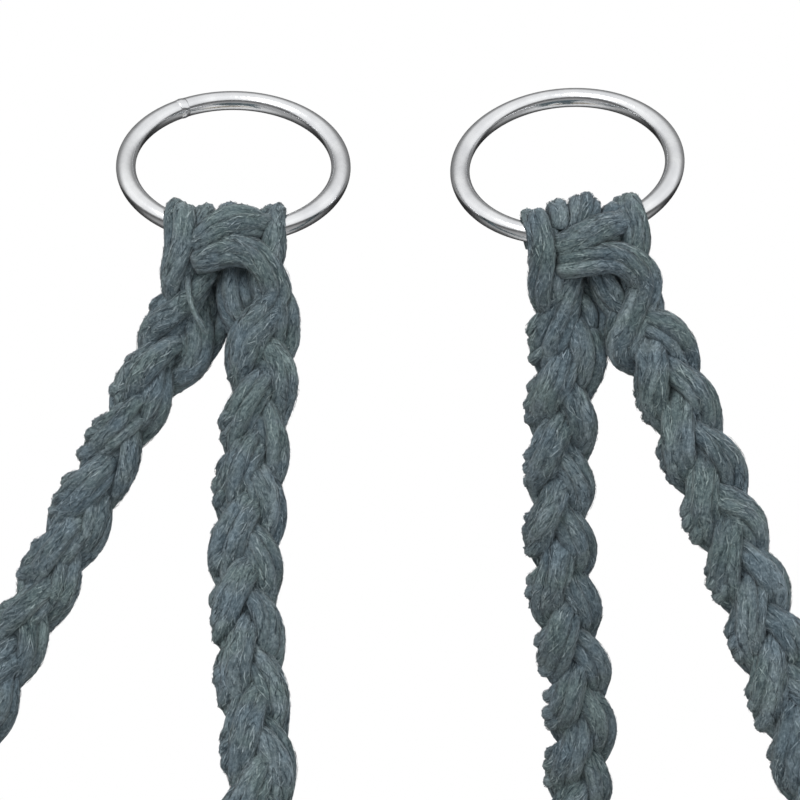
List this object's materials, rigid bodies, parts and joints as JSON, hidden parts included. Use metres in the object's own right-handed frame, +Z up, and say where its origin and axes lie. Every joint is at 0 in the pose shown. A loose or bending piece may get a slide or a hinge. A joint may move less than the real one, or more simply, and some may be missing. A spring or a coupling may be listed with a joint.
{
  "type": "hanging macrame planter",
  "caption": "Oval pot held in a knotted yarn cradle that hangs on braided legs from steel rings, with a tassel below.",
  "frame": {"origin": "on the line through the bottoms of the two steel rings, midway between the two ring knots", "axes": "+Z up, +X to the right along the line of the two rings, -Y to the front"},
  "size_m": [0.324, 0.158, 0.6797],
  "materials": {
    "ring_steel": "polished nickel plate",
    "braid_yarn": "soft brushed cotton yarn, slate blue-grey",
    "wrap_yarn": "soft brushed cotton yarn, slate blue-grey, wound tight",
    "tassel_yarn": "soft brushed cotton yarn, slate blue-grey, hanging loose",
    "pot_stoneware": "matt speckled stoneware"
  },
  "bodies": {
    "sling": {"ring_knot_left": "braid_yarn", "ring_knot_right": "braid_yarn", "leg_left": "braid_yarn", "leg_front": "braid_yarn", "leg_back": "braid_yarn", "leg_right": "braid_yarn", "leg_knot_left": "wrap_yarn", "leg_knot_front": "wrap_yarn", "leg_knot_back": "wrap_yarn", "leg_knot_right": "wrap_yarn", "upper_cord_left_front": "braid_yarn", "upper_cord_left_back": "braid_yarn", "upper_cord_front_left": "braid_yarn", "upper_cord_front_right": "braid_yarn", "upper_cord_back_left": "braid_yarn", "upper_cord_back_right": "braid_yarn", "upper_cord_right_front": "braid_yarn", "upper_cord_right_back": "braid_yarn", "joint_knot_front_left": "wrap_yarn", "joint_knot_front_right": "wrap_yarn", "joint_knot_back_left": "wrap_yarn", "joint_knot_back_right": "wrap_yarn", "lower_cords_front_left": "braid_yarn", "lower_cords_front_right": "braid_yarn", "lower_cords_back_left": "braid_yarn", "lower_cords_back_right": "braid_yarn", "gathering_knot": "wrap_yarn", "tassel": "tassel_yarn"},
    "ring_left": {"ring_left": "ring_steel"},
    "ring_right": {"ring_right": "ring_steel"},
    "pot": {"pot": "pot_stoneware"}
  },
  "joints": [
    {"name": "ring_left_tilt", "type": "hinge", "parent": "sling", "child": "ring_left", "pos_m": [-0.043, 0, 0], "axis": [0.9986, 0, -0.0523], "range_deg": [-45, 118]},
    {"name": "ring_right_tilt", "type": "hinge", "parent": "sling", "child": "ring_right", "pos_m": [0.046, 0, 0], "axis": [0.9903, 0, 0.1392], "range_deg": [-44, 119]},
    {"name": "pot_lift", "type": "slide", "parent": "sling", "child": "pot", "axis": [0, 0, 1], "range_m": [0, 0.018]}
  ]
}
